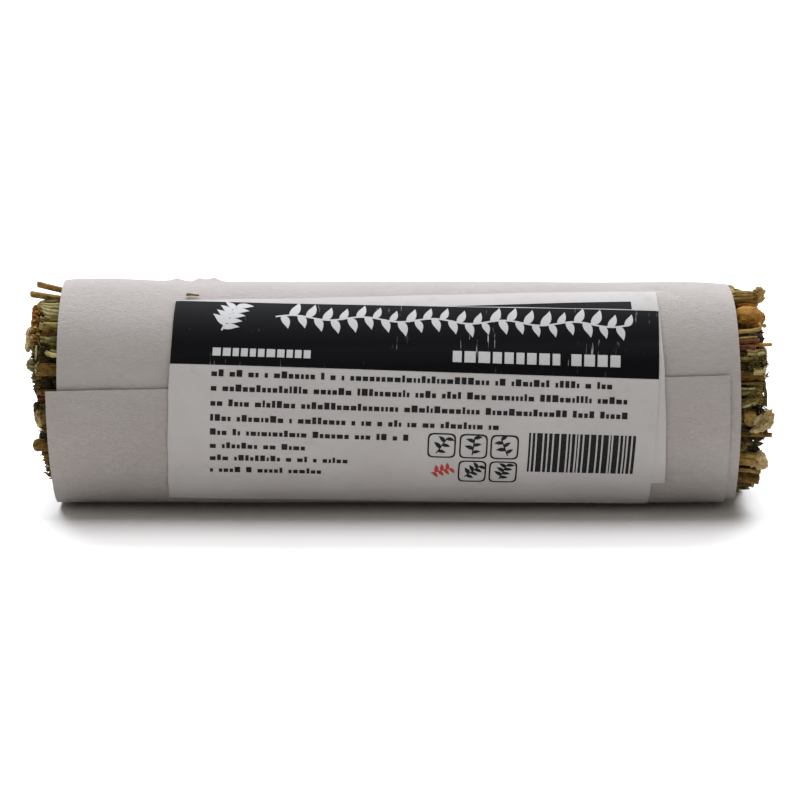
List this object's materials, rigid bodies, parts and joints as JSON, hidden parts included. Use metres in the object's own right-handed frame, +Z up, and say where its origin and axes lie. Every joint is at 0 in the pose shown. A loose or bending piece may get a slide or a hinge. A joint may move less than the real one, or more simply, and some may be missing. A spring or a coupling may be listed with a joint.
{
  "type": "sage smudge stick",
  "caption": "Tied bundle of dried herb sprigs rolled in a sheet of grey paper, held shut by two plain labels, lying on its side.",
  "frame": {"origin": "middle of the bounding box at the surface that the stick rests on", "axes": "+X along the stick, +Z up, the free edge of the paper and the labels face -Y"},
  "size_m": [0.0996, 0.0306, 0.0299],
  "materials": {
    "paper": "matt, faintly creased",
    "label": "smooth, satin",
    "thread": "twisted cotton",
    "leaf": "dry, wrinkled, matt",
    "golden_leaf": "dry, curled, matt",
    "stem": "woody, streaked",
    "pith": "crumbly, matt"
  },
  "bodies": {
    "root": {"paper_wrap": "paper", "under_label": "label", "top_label": "label", "leaf_scrap": "leaf", "binding_thread": "thread", "left_splayed_stem": "stem", "left_orange_stem": "stem", "left_folded_leaf": "leaf", "left_olive_leaf": "leaf", "left_rolled_leaf": "golden_leaf", "left_crumpled_leaf": "leaf", "left_pale_stem": "stem", "left_brown_leaf": "golden_leaf", "left_broken_leaf": "leaf", "left_pithy_stem": "pith", "left_stub_stem": "stem", "left_low_leaf": "leaf", "left_bottom_leaf": "leaf", "right_bark_strip": "golden_leaf", "right_golden_leaf": "golden_leaf", "right_curled_strip": "golden_leaf", "right_red_stem": "stem", "right_twig": "stem", "right_pale_leaf": "leaf", "right_split_leaf": "leaf", "right_long_leaf": "leaf", "right_pithy_stem": "pith", "right_dark_twig": "stem", "right_short_leaf": "leaf", "right_thick_stem": "pith", "right_cut_stem": "stem", "right_bottom_stem": "stem", "sprig_01": "leaf", "sprig_02": "leaf", "sprig_03": "leaf", "sprig_04": "leaf", "sprig_05": "leaf", "sprig_06": "leaf", "sprig_07": "leaf", "sprig_08": "leaf", "sprig_09": "leaf", "sprig_10": "leaf", "sprig_11": "leaf", "sprig_12": "leaf", "sprig_13": "leaf", "sprig_14": "leaf", "sprig_15": "leaf", "sprig_16": "leaf", "sprig_17": "leaf"}
  },
  "joints": []
}
